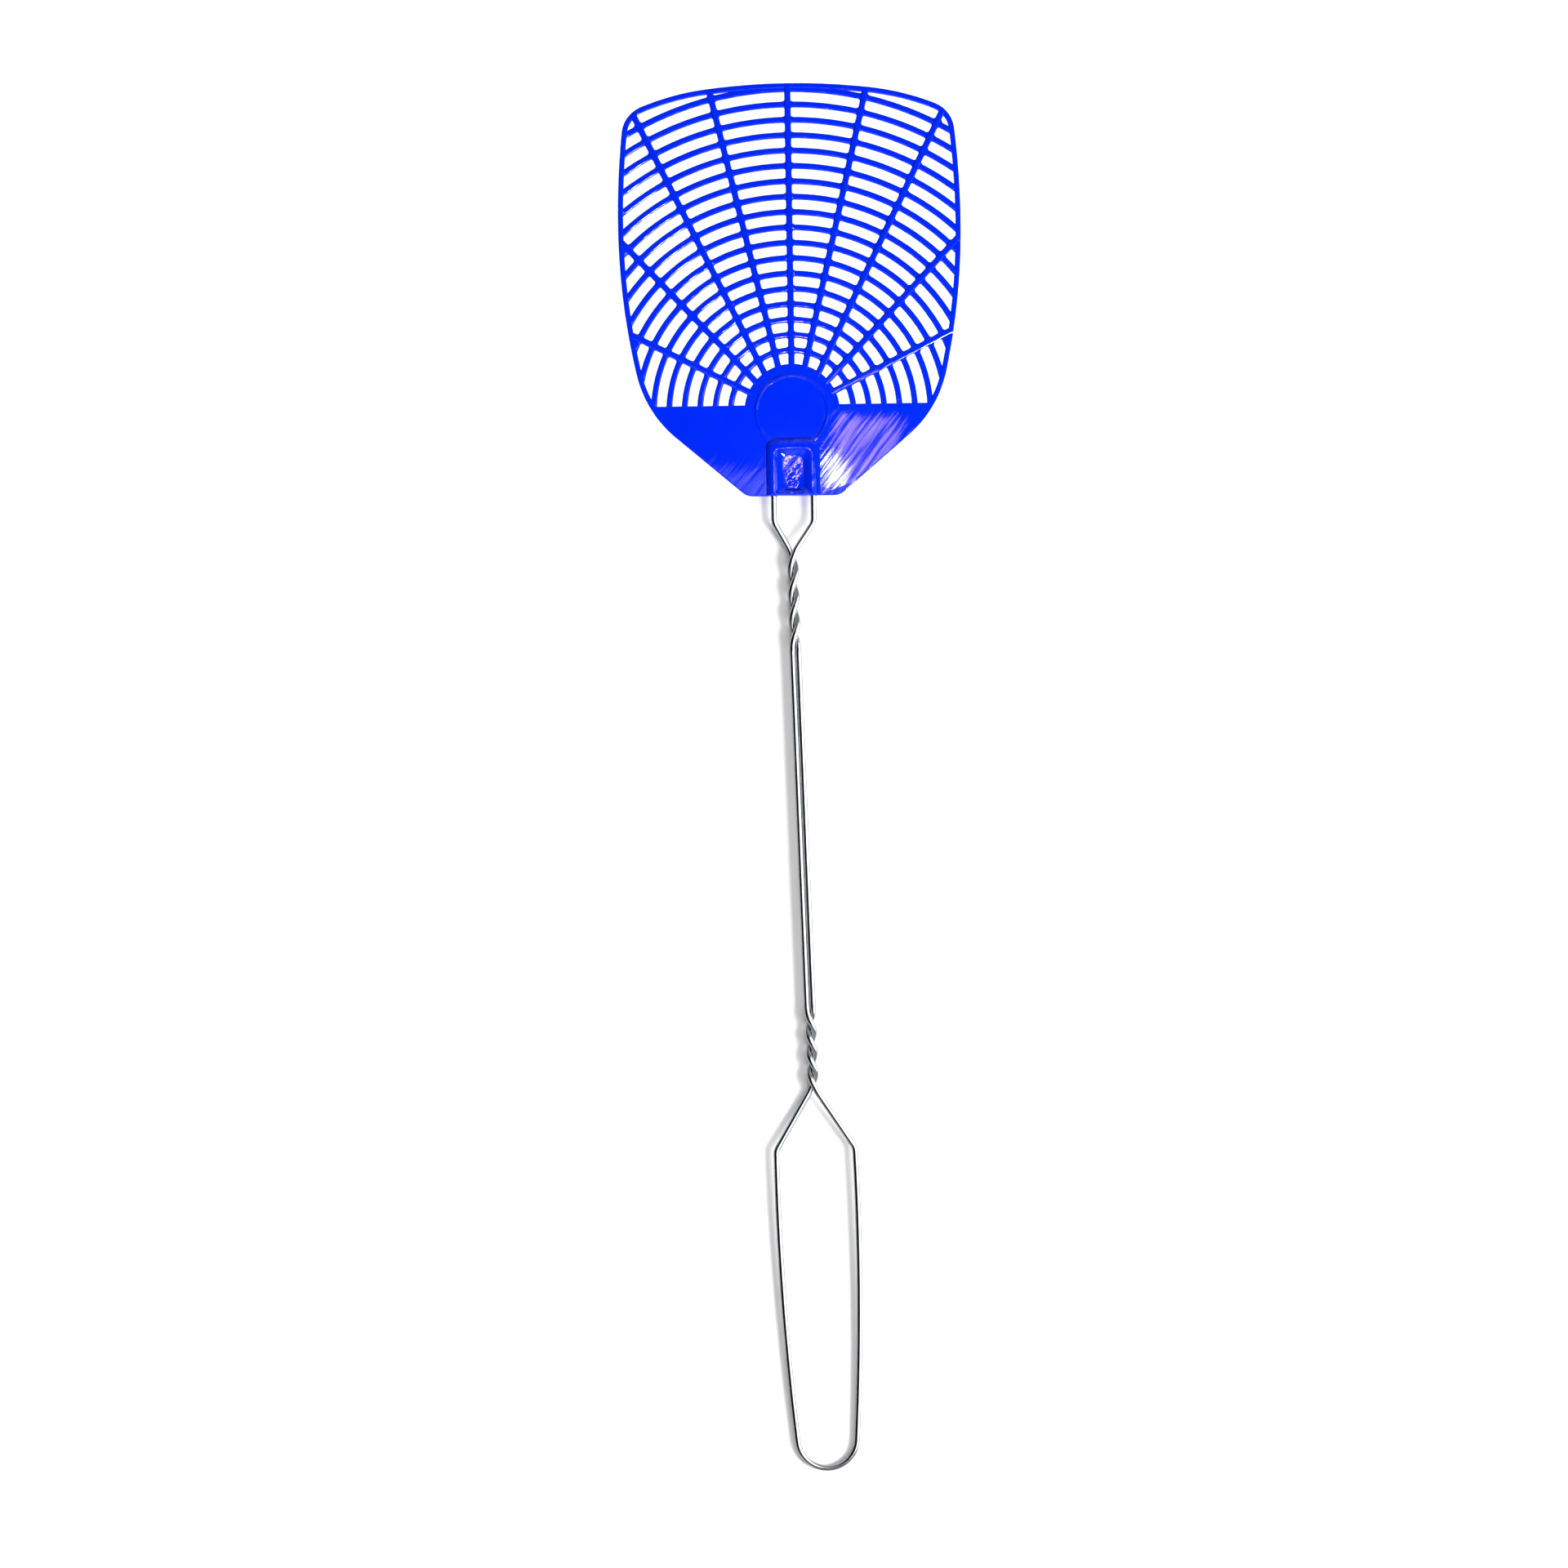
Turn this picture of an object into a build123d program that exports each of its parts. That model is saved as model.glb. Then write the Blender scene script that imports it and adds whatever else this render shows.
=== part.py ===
from build123d import *
import os
from math import asin, cos, pi, radians, sin, tan

# Fly swatter: one moulded plastic blade pushed onto one steel wire.  Millimetres.
# The blade points to +Y and the grip to -Y.  The swatter lies on its back: the boss's flat
# back and the end of the grip loop touch Z = 0, and the blade is level, clear of the ground.
# The wire is bent double: it makes the grip loop, a twist, a straight pair, a second
# twist and two legs whose ends sit in blind sockets in the blade's boss.  Each of these
# five stretches of the one wire is a node of its own, cut straight across the wire.

# ---------------------------------------------------------------- driving dimensions
LENGTH = 458.4
TOP_Y = LENGTH / 2
BLADE_LENGTH = 136.2
FOOT_Y = TOP_Y - BLADE_LENGTH

# Outline of the blade's right half, from the middle of its top edge:
# radius and turn, in degrees, of each tangent arc, clockwise.
OUTLINE_ARCS = ((220.3, 7.1), (84.8, 15.0), (10.1, 61.6), (278.9, 6.3), (228.3, 12.5), (38.4, 37.1))
FOOT_CORNER_R = 5.4

RIM_WIDTH = 1.8
WEB_THICKNESS = 1.8
RING_THICKNESS = 1.5
RIB_THICKNESS = 2.1

# Grille: concentric rings about the hub, crossed by straight ribs.
HUB_Y = TOP_Y - 108.4
HUB_R = 15.8
RING_PITCH = 5.07
RING_WIDTH = 2.1
FIRST_RING = 4
LAST_RING = 21
RIB_WIDTH = 2.2
RIB_REACH = 120.0
# Direction from the blade's axis, in degrees, and sideways offset from the hub's centre.
SIDE_RIBS = ((13.2, 0.9), (26.1, 2.4), (43.1, 1.8), (63.3, 0.4))
WEB_EDGE_Y = HUB_Y + 2.3

# Raised ring on the hub.
BEAD_R = 11.8
BEAD_WIDTH = 1.0
BEAD_HEIGHT = 0.25

# Boss with the two sockets.
BOSS_WIDTH = 18.1
BOSS_LENGTH = 19.2
BOSS_HEIGHT = 4.7
MID_Z = BOSS_HEIGHT / 2
BOSS_CORNER_R = 3.5
BOSS_EDGE_R = 1.6
BOSS_BACK_EDGE_R = 0.7
RECESS_WIDTH = 7.6
RECESS_LENGTH = 13.8
RECESS_MARGIN = 1.3
RECESS_FLOOR_Z = 3.0
RECESS_CORNER_R = 3.0
RECESS_EDGE_R = 0.9

# Wire.
WIRE_R = 1.0
WIRE_Z = MID_Z
LEG_SPACING = 13.1
SOCKET_R = WIRE_R + 0.05
SOCKET_DEPTH = 16.0
SOCKET_END_GAP = 0.3
LEG_BEND_Y = FOOT_Y - 7.2
LEG_BEND_R = 5.0
LEG_BEND = 34.0
CROSSING_BEND_R = 12.0
CROSSING_RUN = 3.0
# Shares of a run: up to where a corner's arc may reach, and the length of a strand's end runs.
CORNER_SHARE = 0.45
END_RUN_SHARE = 0.6

# Both twists: strands on a cylinder of STRAND_R, easing into the straight pair.  Each strand
# is straight runs joined by arcs, with corners a little further out than the arcs' middles.
STRAND_R = WIRE_R + 0.02
TWIST_CORNER_R = 1.09
TWIST_EASE = 5.0
TWIST_TURNS = 1.75
POINTS_PER_TURN = 8
UPPER_PITCH = 16.9
LOWER_PITCH = 13.7
CROSSING_X = -0.5
CROSSING_Y = FOOT_Y - 20.5
HANDLE_LEAN = 1.45
SHAFT_LENGTH = 115.0

# Grip loop, from its end bend up to the crossing.
END_BEND_R = 9.8
LIMB_FLARE = 4.8
LIMB_R = 960.0
LIMB_TURN = 5.7
SHOULDER_R = 3.9
SHOULDER_RUN = 4.0
SHOULDER_TURN = 32.3

# ---------------------------------------------------------------- derived positions
LEG_X = LEG_SPACING / 2
LEG_TOP_Y = FOOT_Y + SOCKET_DEPTH - SOCKET_END_GAP
UPPER_LENGTH = TWIST_TURNS * UPPER_PITCH + TWIST_EASE / 2
LOWER_LENGTH = TWIST_TURNS * LOWER_PITCH + TWIST_EASE / 2
LEAN = radians(HANDLE_LEAN)
LEAN_ARC_R = UPPER_LENGTH / LEAN

# The handle's axis: straight down from the crossing, curving by LEAN over the upper twist,
# then straight to the end of the loop.
AXIS_DOWN = Vector(sin(LEAN), -cos(LEAN), 0)
AXIS_SIDE = Vector(cos(LEAN), sin(LEAN), 0)
CROSSING = Vector(CROSSING_X, CROSSING_Y, WIRE_Z)
SHAFT_TOP = CROSSING + Vector(LEAN_ARC_R * (1 - cos(LEAN)), -LEAN_ARC_R * sin(LEAN), 0)
SHAFT_FOOT = SHAFT_TOP + AXIS_DOWN * SHAFT_LENGTH
LOWER_CROSSING = SHAFT_FOOT + AXIS_DOWN * LOWER_LENGTH
LOOP_LENGTH = (LOWER_CROSSING.Y + TOP_Y - END_BEND_R - WIRE_R) / cos(LEAN)

os.makedirs("parts", exist_ok=True)


# ---------------------------------------------------------------- blade
def arc_drop(radius, heading, turn):
    """Fall in Y along an arc whose heading is measured clockwise from +X."""
    return radius * (cos(radians(heading)) - cos(radians(heading + turn)))


def taper_length():
    """Length of the outline's straight taper, so that the outline ends at FOOT_Y."""
    heading = 0.0
    drop = 0.0
    for radius, turn in OUTLINE_ARCS:
        drop += arc_drop(radius, heading, turn)
        heading += turn
    drop += arc_drop(FOOT_CORNER_R, heading, 180 - heading)
    return (BLADE_LENGTH - drop) / sin(radians(heading))


def blade_outline():
    """The blade's outline as a face."""
    with BuildSketch() as sketch:
        with BuildLine():
            start = Vector(0, TOP_Y)
            tangent = Vector(1, 0)
            heading = 0.0
            for radius, turn in OUTLINE_ARCS:
                arc = JernArc(start=start, tangent=tangent, radius=radius, arc_size=-turn)
                start = arc @ 1
                tangent = arc % 1
                heading += turn
            taper = Line(start, start + tangent * taper_length())
            corner = JernArc(
                start=taper @ 1, tangent=taper % 1, radius=FOOT_CORNER_R, arc_size=heading - 180
            )
            Line(corner @ 1, (0, FOOT_Y))
            mirror(about=Plane.YZ)
        make_face()
    return sketch.sketch


def rib_sketch():
    """The middle rib and the side ribs, all longer than the blade."""
    with BuildSketch() as sketch:
        with Locations((0, HUB_Y + RIB_REACH / 2)):
            Rectangle(RIB_WIDTH, RIB_REACH)
        for side in (1, -1):
            for direction, offset in SIDE_RIBS:
                with Locations(Location((0, HUB_Y, 0), (0, 0, -side * direction))):
                    with Locations((side * offset, RIB_REACH / 2)):
                        Rectangle(RIB_WIDTH, RIB_REACH)
    return sketch.sketch


def ring_sketch():
    """The grille's concentric rings, from the outermost inwards."""
    with BuildSketch() as sketch:
        with Locations((0, HUB_Y)):
            for ring in range(LAST_RING, FIRST_RING - 1, -1):
                Circle(ring * RING_PITCH + RING_WIDTH / 2)
                Circle(ring * RING_PITCH - RING_WIDTH / 2, mode=Mode.SUBTRACT)
    return sketch.sketch


def above_web():
    """A face that covers the whole grille, above the web's straight edge."""
    with BuildSketch() as sketch:
        with Locations((0, (TOP_Y + WEB_EDGE_Y) / 2)):
            Rectangle(BLADE_LENGTH, TOP_Y - WEB_EDGE_Y)
    return sketch.sketch


def grille_area():
    """The part of the outline above the web's straight edge."""
    with BuildSketch() as sketch:
        add(outline)
        add(above_web(), mode=Mode.INTERSECT)
    return sketch.sketch


outline = blade_outline()
grille = grille_area()

with BuildSketch() as solid_plan:
    add(outline)
    offset(outline, amount=-RIM_WIDTH, mode=Mode.SUBTRACT)
    with BuildSketch(mode=Mode.PRIVATE) as web:
        add(outline)
        add(above_web(), mode=Mode.SUBTRACT)
    add(web.sketch)
    with Locations((0, HUB_Y)):
        Circle(HUB_R)

with BuildSketch() as ring_plan:
    add(ring_sketch())
    add(grille, mode=Mode.INTERSECT)

with BuildSketch() as rib_plan:
    add(rib_sketch())
    add(grille, mode=Mode.INTERSECT)
    with Locations((0, HUB_Y)):
        Circle(HUB_R - RIM_WIDTH, mode=Mode.SUBTRACT)
    offset(outline, amount=-RIM_WIDTH / 2, mode=Mode.INTERSECT)

with BuildPart() as plate:
    for plan, thickness in (
        (ring_plan, RING_THICKNESS),
        (solid_plan, WEB_THICKNESS),
        (rib_plan, RIB_THICKNESS),
    ):
        with BuildSketch(Plane.XY.offset(MID_Z)):
            add(plan.sketch)
        extrude(amount=thickness / 2, both=True)

    with BuildSketch(Plane.XY.offset(MID_Z + WEB_THICKNESS / 2)):
        with Locations((0, HUB_Y)):
            Circle(BEAD_R + BEAD_WIDTH / 2)
            Circle(BEAD_R - BEAD_WIDTH / 2, mode=Mode.SUBTRACT)
    extrude(amount=BEAD_HEIGHT)

with BuildPart() as boss:
    with BuildSketch():
        with Locations((0, FOOT_Y + BOSS_LENGTH / 2)):
            Rectangle(BOSS_WIDTH, BOSS_LENGTH)
    extrude(amount=BOSS_HEIGHT)
    fillet(boss.edges().filter_by(Axis.Z).group_by(Axis.Y)[-1], radius=BOSS_CORNER_R)
    foot_edge = boss.edges().group_by(Axis.Z)[-1].group_by(Axis.Y)[0]
    fillet(boss.edges().group_by(Axis.Z)[-1] - foot_edge, radius=BOSS_EDGE_R)
    foot_edge = boss.edges().group_by(Axis.Z)[0].group_by(Axis.Y)[0]
    fillet(boss.edges().group_by(Axis.Z)[0] - foot_edge, radius=BOSS_BACK_EDGE_R)

    with BuildSketch(Plane.XY.offset(BOSS_HEIGHT)):
        with Locations((0, FOOT_Y + RECESS_MARGIN + RECESS_LENGTH / 2)):
            RectangleRounded(RECESS_WIDTH, RECESS_LENGTH, RECESS_CORNER_R)
    extrude(amount=RECESS_FLOOR_Z - BOSS_HEIGHT, mode=Mode.SUBTRACT)
    recess_edge = boss.faces().sort_by(Axis.Z)[-1].inner_wires()[0].edges()
    fillet(recess_edge, radius=RECESS_EDGE_R)

with BuildPart() as swatter_blade:
    add(plate.part)
    add(boss.part)
    with BuildSketch(Plane.XZ.offset(-FOOT_Y)):
        with Locations((LEG_X, WIRE_Z), (-LEG_X, WIRE_Z)):
            Circle(SOCKET_R)
    extrude(amount=-SOCKET_DEPTH, mode=Mode.SUBTRACT)
swatter_blade.part.label = "swatter_blade"


# ---------------------------------------------------------------- wire
def eased_turn(distance, length):
    """Share of a twist's turn reached at a distance, easing in over the first stretch."""
    if distance < TWIST_EASE:
        return distance ** 2 / (2 * TWIST_EASE) / (length - TWIST_EASE / 2)
    return (distance - TWIST_EASE / 2) / (length - TWIST_EASE / 2)


def twist_path(frame_at, length, phase, turn):
    """Corners of one strand, between the straight pair's end of a twist and its crossing."""
    count = round(TWIST_TURNS * POINTS_PER_TURN)
    points = []
    for step in range(1, count):
        distance = length * step / count
        angle = phase + turn * eased_turn(distance, length)
        centre, side = frame_at(distance)
        radius = STRAND_R + (TWIST_CORNER_R - STRAND_R) * min(1, distance / TWIST_EASE)
        points.append(centre + side * (radius * cos(angle)) + Vector(0, 0, radius * sin(angle)))
    return points


def upper_frame(distance):
    """Centre and sideways direction of the upper twist, from the shaft up to the crossing."""
    heading = LEAN * (1 - distance / UPPER_LENGTH)
    centre = CROSSING + Vector(LEAN_ARC_R * (1 - cos(heading)), -LEAN_ARC_R * sin(heading), 0)
    return centre, Vector(cos(heading), sin(heading), 0)


def lower_frame(distance):
    """Centre and sideways direction of the lower twist, from the shaft down to the crossing."""
    return SHAFT_FOOT + AXIS_DOWN * distance, AXIS_SIDE


def crossing_slope(pitch):
    """Sideways travel of a strand per millimetre of the twist, where strands cross."""
    return 2 * pi * STRAND_R / pitch


def wire_along(path):
    """Round wire swept along a path."""
    with BuildPart() as piece:
        with BuildSketch(Plane(origin=path @ 0, z_dir=path % 0)):
            Circle(WIRE_R)
        sweep(path=path)
    return piece.part


def corner_radius(points, index):
    """The largest radius that both runs beside a corner leave room for."""
    before = points[index] - points[index - 1]
    after = points[index + 1] - points[index]
    half_turn = radians(before.get_angle(after)) / 2
    return CORNER_SHARE * min(before.length, after.length) / tan(half_turn)


def twist_strand(corners, start, start_tangent, end, end_tangent):
    """Wire along one strand of a twist, leaving and reaching its ends along their tangents."""
    run = (corners[1] - corners[0]).length
    first = start + start_tangent.normalized() * (END_RUN_SHARE * run)
    last = end - end_tangent.normalized() * (END_RUN_SHARE * run)
    points = [start, first, *corners[1:-1], last, end]
    bends = [corner_radius(points, index) for index in range(1, len(points) - 1)]
    with BuildLine() as path:
        FilletPolyline(*points, radius=bends)
    return wire_along(path.wire())


def fork_leg(side):
    """One leg: straight in its socket, bent inwards, then rising or sinking to the crossing."""
    slope = crossing_slope(UPPER_PITCH)
    meeting = CROSSING + Vector(0, 0, side * STRAND_R)
    before_meeting = meeting + Vector(side * slope, 1, 0) * CROSSING_RUN
    corner = Vector(side * LEG_X, LEG_BEND_Y - LEG_BEND_R * tan(radians(LEG_BEND / 2)), WIRE_Z)
    with BuildLine() as path:
        FilletPolyline(
            Vector(side * LEG_X, LEG_TOP_Y, WIRE_Z), corner, before_meeting, meeting,
            radius=[LEG_BEND_R, CROSSING_BEND_R],
        )
    return wire_along(path.wire())


def upper_strand(side):
    """The upper twist's strand that starts from the straight pair's wire on one side."""
    phase = 0 if side > 0 else pi
    corners = twist_path(upper_frame, UPPER_LENGTH, phase, -TWIST_TURNS * 2 * pi)
    start = SHAFT_TOP + AXIS_SIDE * (side * STRAND_R)
    meeting = CROSSING + Vector(0, 0, side * STRAND_R)
    slope = crossing_slope(UPPER_PITCH)
    return twist_strand(corners, start, -AXIS_DOWN, meeting, Vector(side * slope, 1, 0))


def lower_strand(side):
    """The lower twist's strand that starts from the straight pair's wire on one side."""
    phase = 0 if side > 0 else pi
    corners = twist_path(lower_frame, LOWER_LENGTH, phase, -TWIST_TURNS * 2 * pi)
    start = SHAFT_FOOT + AXIS_SIDE * (side * STRAND_R)
    meeting = LOWER_CROSSING + Vector(0, 0, side * STRAND_R)
    slope = crossing_slope(LOWER_PITCH)
    return twist_strand(corners, start, AXIS_DOWN, meeting, AXIS_DOWN + AXIS_SIDE * (side * slope))


def shaft_strand(side):
    """One straight wire of the pair."""
    start = SHAFT_TOP + AXIS_SIDE * (side * STRAND_R)
    with BuildPart() as piece:
        with BuildSketch(Plane(origin=start, z_dir=AXIS_DOWN)):
            Circle(WIRE_R)
        extrude(amount=SHAFT_LENGTH)
    return piece.part


def loop_plane():
    """Plane of the grip loop: Y up the handle, sloping so that the end bend lies on Z = 0."""
    tilt = asin((WIRE_Z - WIRE_R) / (LOOP_LENGTH + END_BEND_R))
    up = AXIS_DOWN * -cos(tilt) + Vector(0, 0, sin(tilt))
    centre = LOWER_CROSSING - up * LOOP_LENGTH
    return Plane(origin=centre, x_dir=AXIS_SIDE, z_dir=AXIS_SIDE.cross(up))


def grip_loop_path():
    """The loop: from the crossing down one side, round its end bend and up to the crossing."""
    plane = loop_plane()
    halves = []
    for side in (1, -1):
        with BuildLine(plane) as half:
            bend = JernArc(
                start=(0, -END_BEND_R), tangent=(side, 0),
                radius=END_BEND_R, arc_size=side * (90 - LIMB_FLARE),
            )
            JernArc(start=bend @ 1, tangent=bend % 1, radius=LIMB_R, arc_size=side * LIMB_TURN)
        shoulder_start = half.wire() @ 1
        shoulder_tangent = half.wire() % 1
        meeting = LOWER_CROSSING + Vector(0, 0, side * STRAND_R)
        slope = crossing_slope(LOWER_PITCH)
        before_meeting = meeting - (plane.y_dir - plane.x_dir * (side * slope)) * CROSSING_RUN
        shoulder = shoulder_start + shoulder_tangent * (SHOULDER_RUN * tan(radians(SHOULDER_TURN / 2)))
        with BuildLine() as shoulder_path:
            FilletPolyline(
                shoulder_start, shoulder, before_meeting, meeting,
                radius=[SHOULDER_R, CROSSING_BEND_R],
            )
        halves.append(half.wire())
        halves.append(shoulder_path.wire())
    return Wire([edge for wire in halves for edge in wire.edges()])


def pair_of(strand, name):
    """Both strands of one stretch of the wire, as separate solids in one node."""
    return Compound(label=name, children=[strand(1), strand(-1)])


fork_legs = pair_of(fork_leg, "fork_legs")
upper_twist = pair_of(upper_strand, "upper_twist")
shaft = pair_of(shaft_strand, "shaft")
lower_twist = pair_of(lower_strand, "lower_twist")

grip_loop = wire_along(grip_loop_path())
grip_loop.label = "grip_loop"

for piece in (swatter_blade.part, fork_legs, upper_twist, shaft, lower_twist, grip_loop):
    export_step(piece, f"parts/{piece.label}.step")
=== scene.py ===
from math import acos, asin, atan2, cos, pi, radians, sin, tan

import bmesh
import bpy
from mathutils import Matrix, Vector


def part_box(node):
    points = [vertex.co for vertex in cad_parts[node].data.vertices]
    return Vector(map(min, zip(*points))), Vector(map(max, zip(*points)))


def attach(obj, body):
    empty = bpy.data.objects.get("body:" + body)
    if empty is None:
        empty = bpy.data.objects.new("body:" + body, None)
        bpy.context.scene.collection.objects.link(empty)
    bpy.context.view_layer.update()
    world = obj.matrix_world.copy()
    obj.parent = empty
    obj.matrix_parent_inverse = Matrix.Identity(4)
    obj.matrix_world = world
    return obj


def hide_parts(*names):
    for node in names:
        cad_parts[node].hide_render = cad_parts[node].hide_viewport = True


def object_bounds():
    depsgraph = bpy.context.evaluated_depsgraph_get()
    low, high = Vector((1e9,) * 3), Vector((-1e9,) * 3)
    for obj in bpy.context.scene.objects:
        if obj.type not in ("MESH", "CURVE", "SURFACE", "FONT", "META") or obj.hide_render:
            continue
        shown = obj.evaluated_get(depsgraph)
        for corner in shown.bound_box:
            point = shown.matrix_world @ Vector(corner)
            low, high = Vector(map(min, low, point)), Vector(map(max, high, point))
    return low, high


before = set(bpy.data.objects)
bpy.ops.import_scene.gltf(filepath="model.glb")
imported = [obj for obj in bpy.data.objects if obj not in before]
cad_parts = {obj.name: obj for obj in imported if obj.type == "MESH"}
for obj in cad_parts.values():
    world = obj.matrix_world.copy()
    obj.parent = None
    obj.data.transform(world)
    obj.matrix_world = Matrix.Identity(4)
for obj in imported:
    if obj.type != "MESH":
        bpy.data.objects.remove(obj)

cad_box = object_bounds()
MM = 0.001
blade_low, blade_high = (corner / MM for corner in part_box("swatter_blade"))

# ---------------------------------------------------------------- blade's dimensions, in millimetres
TOP_Y = blade_high.y
FOOT_Y = blade_low.y
BOSS_HEIGHT = blade_high.z
MID_Z = BOSS_HEIGHT / 2
# Radius and turn, in degrees, of the outline's tangent arcs, from the middle of its top edge.
OUTLINE_ARCS = ((220.3, 7.1), (84.8, 15.0), (10.1, 61.6), (278.9, 6.3), (228.3, 12.5), (38.4, 37.1))
FOOT_CORNER_R = 5.4
RIM_WIDTH = 1.8
WEB_THICKNESS = 1.8
RING_THICKNESS = 1.5
RIB_THICKNESS = 2.1
HUB_Y = TOP_Y - 108.4
HUB_R = 15.8
RING_PITCH = 5.07
RING_WIDTH = 2.1
FIRST_RING = 4
LAST_RING = 21
RIB_WIDTH = 2.2
SIDE_RIBS = ((13.2, 0.9), (26.1, 2.4), (43.1, 1.8), (63.3, 0.4))
WEB_EDGE_Y = HUB_Y + 2.3
EDGE_R = 0.4
BAR_EDGE_STEPS = 3
PLATE_EDGE_STEPS = 4
DRAFT = 0.08
CORNER_FILLET = 0.7
FILLET_STEPS = 4
# Faces larger than this, in square millimetres, are shaded flat.
FLAT_AREA = 12.0
# How far the bars' ends run into the rim, the web and the hub.
BURIED = 1.4
# Distances between points along the outline and the rings, along the hub's arcs, along the
# ribs and along the web's edge.
PATH_SPACING = 1.5
HUB_SPACING = 1.0
RIB_SPACING = 3.0
WEB_EDGE_SPACING = 2.0
RING_END_STEP = 0.002
PARALLEL = 1e-9
EDGE_SLACK = 1e-6
BEAD_R = 11.8
BEAD_WIDTH = 1.4
BEAD_HEIGHT = 0.3
BEAD_SIDES = 12
BOSS_WIDTH = 18.1
BOSS_LENGTH = 19.2
BOSS_CORNER_R = 3.5
BOSS_CORNER_STEPS = 8
SOCKET_DEPTH = 16.0
SOCKET_R = 1.05
SOCKET_MOUTH = 0.25
SOCKET_SIDES = 32
SOCKET_OVERRUN = 1.0
BLADE_SHARP = radians(40)
NORMAL_WEIGHT = 80

# ---------------------------------------------------------------- wire's dimensions, in millimetres
WIRE_R = 1.0
WIRE_Z = MID_Z
LEG_X = 6.55
SOCKET_GAP = 0.3
LEG_TOP_Y = FOOT_Y + SOCKET_DEPTH - SOCKET_GAP
LEG_BEND_Y = FOOT_Y - 7.2
LEG_BEND_R = 5.0
LEG_BEND = radians(34.0)
CROSSING_BEND_R = 12.0
CROSSING_RUN = 3.0
TIP_CHAMFER = 0.25
STRAND_GAP = 0.02
STRAND_R = WIRE_R + STRAND_GAP
TWIST_EASE = 5.0
TWIST_TURNS = 1.75
UPPER_PITCH = 16.9
LOWER_PITCH = 13.7
CROSSING = Vector((-0.5, FOOT_Y - 20.5, WIRE_Z))
LEAN = radians(1.45)
SHAFT_LENGTH = 115.0
END_BEND_R = 9.8
LIMB_FLARE = radians(4.8)
LIMB_R = 960.0
LIMB_TURN = radians(5.7)
SHOULDER_R = 4.0
# Share of the shoulder's radius that its bend takes, so that it begins just past the limb's end.
SHOULDER_SHARE = 0.98
SHOULDER_TURN = radians(32.3)
WIRE_STEP = 0.7
WIRE_SIDES = 24
WIRE_SHARP = radians(38)
# Scale of the distance along the wire that its material reads.
PLACE_SCALE = 0.1

# ---------------------------------------------------------------- camera and light
FRAME_WIDTH = 0.5184
LENS = 90.0
SENSOR = 36.0
ROLL = radians(0.88)
LOOK_OFFSET = (-0.0046, -0.0020)
FLOOR_SIZE = 8.0
FLOOR_DROP = 0.00002
# Distances from the middle where the floor begins to glow and where it glows fully.
FLOOR_GLOW = (0.7, 2.2)
# Heights on the sky's dome, as sines of the elevation, and the brightness there.
SKY_LEVELS = ((0.0, 0.03), (0.3, 0.01))
# Brightness of the sky's ends, and where it begins and is full, as shares of the way to the end.
SKY_ENDS = 0.7
SKY_ENDS_RANGE = (0.4, 0.75)
SKY_SEEN = 0.9
# Lights: direction as elevation and bearing from +X in degrees or place, power, and size.
KEY_DISTANCE = 1.25
KEY_ON_FLOOR_FROM = (30, -18)
KEY_ON_FLOOR = 50.0
KEY_ON_FLOOR_SIZE = 0.75
KEY_ON_BLADE_FROM = (45, -45)
KEY_ON_BLADE = 35.0
KEY_ON_BLADE_SIZE = 0.2
FILL_Y = 0.8
FILL_HEIGHT = 0.95
FILL_POWER = 2.2
FILL_SIZE = (0.5, 0.3)
SOFTBOX_PLACE = (0.44, 0, 1.22)
SOFTBOX_POWER = 3.0
SOFTBOX_SIZE = (0.42, 1.3)
WIRE_SOFTBOX_PLACE = (0.93, 0, 0.86)
WIRE_SOFTBOX_POWER = 50.0
WIRE_SOFTBOX_SIZE = (1.7, 2.2)
# Small panels whose reflections lie on the blade: name, place of the reflection from the hub's
# centre and its size, in millimetres, power in watts, and colour.
PANELS = (
    ("core", (13.7, -20.2), (7.0, 10.0), 0.05, (1.0, 1.0, 1.0)),
    ("haze", (26.0, -13.0), (24.0, 25.0), 0.055, (1.0, 0.66, 0.9)),
    ("recess", (0.0, -20.0), (6.0, 12.0), 0.07, (1.0, 0.66, 0.9)),
)

# ---------------------------------------------------------------- materials' values, in metres
PLASTIC_TONES = ((0.0, 0.0135, 0.56), (0.0, 0.0165, 0.64))
PLASTIC_ROUGHNESS = (0.022, 0.035)
RIPPLE_DEPTH = 0.000008
STREAK_TURN = radians(-37.0)
STREAK_STRETCH = (1, 20, 1)
STREAK_DEPTH = 0.000005
# Specular level where the streaks' noise is low and high, and the noise's range that it covers.
STREAK_GLOSS = (0.05, 0.65)
STREAK_NOISE = (0.38, 0.62)
SPECKLE_DEPTH = 0.00004
# The recess: middle, half width and blur along each axis.
SPECKLE_BOX = (
    ("X", 0.0, 0.0042, 0.0003),
    ("Y", (FOOT_Y + 8.0) * MM, 0.0070, 0.0003),
    ("Z", 0.0035, 0.0008, 0.0002),
)
WIRE_TONES = ((0.27, 0.275, 0.285), (0.33, 0.33, 0.34))
WIRE_ROUGHNESS = (0.12, 0.2)
WIRE_LINE_STRETCH = (1, 1, 6.7)
WIRE_LINE_DEPTH = 0.000003
PAPER_TONES = ((0.80, 0.80, 0.80), (0.82, 0.82, 0.82))


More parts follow.
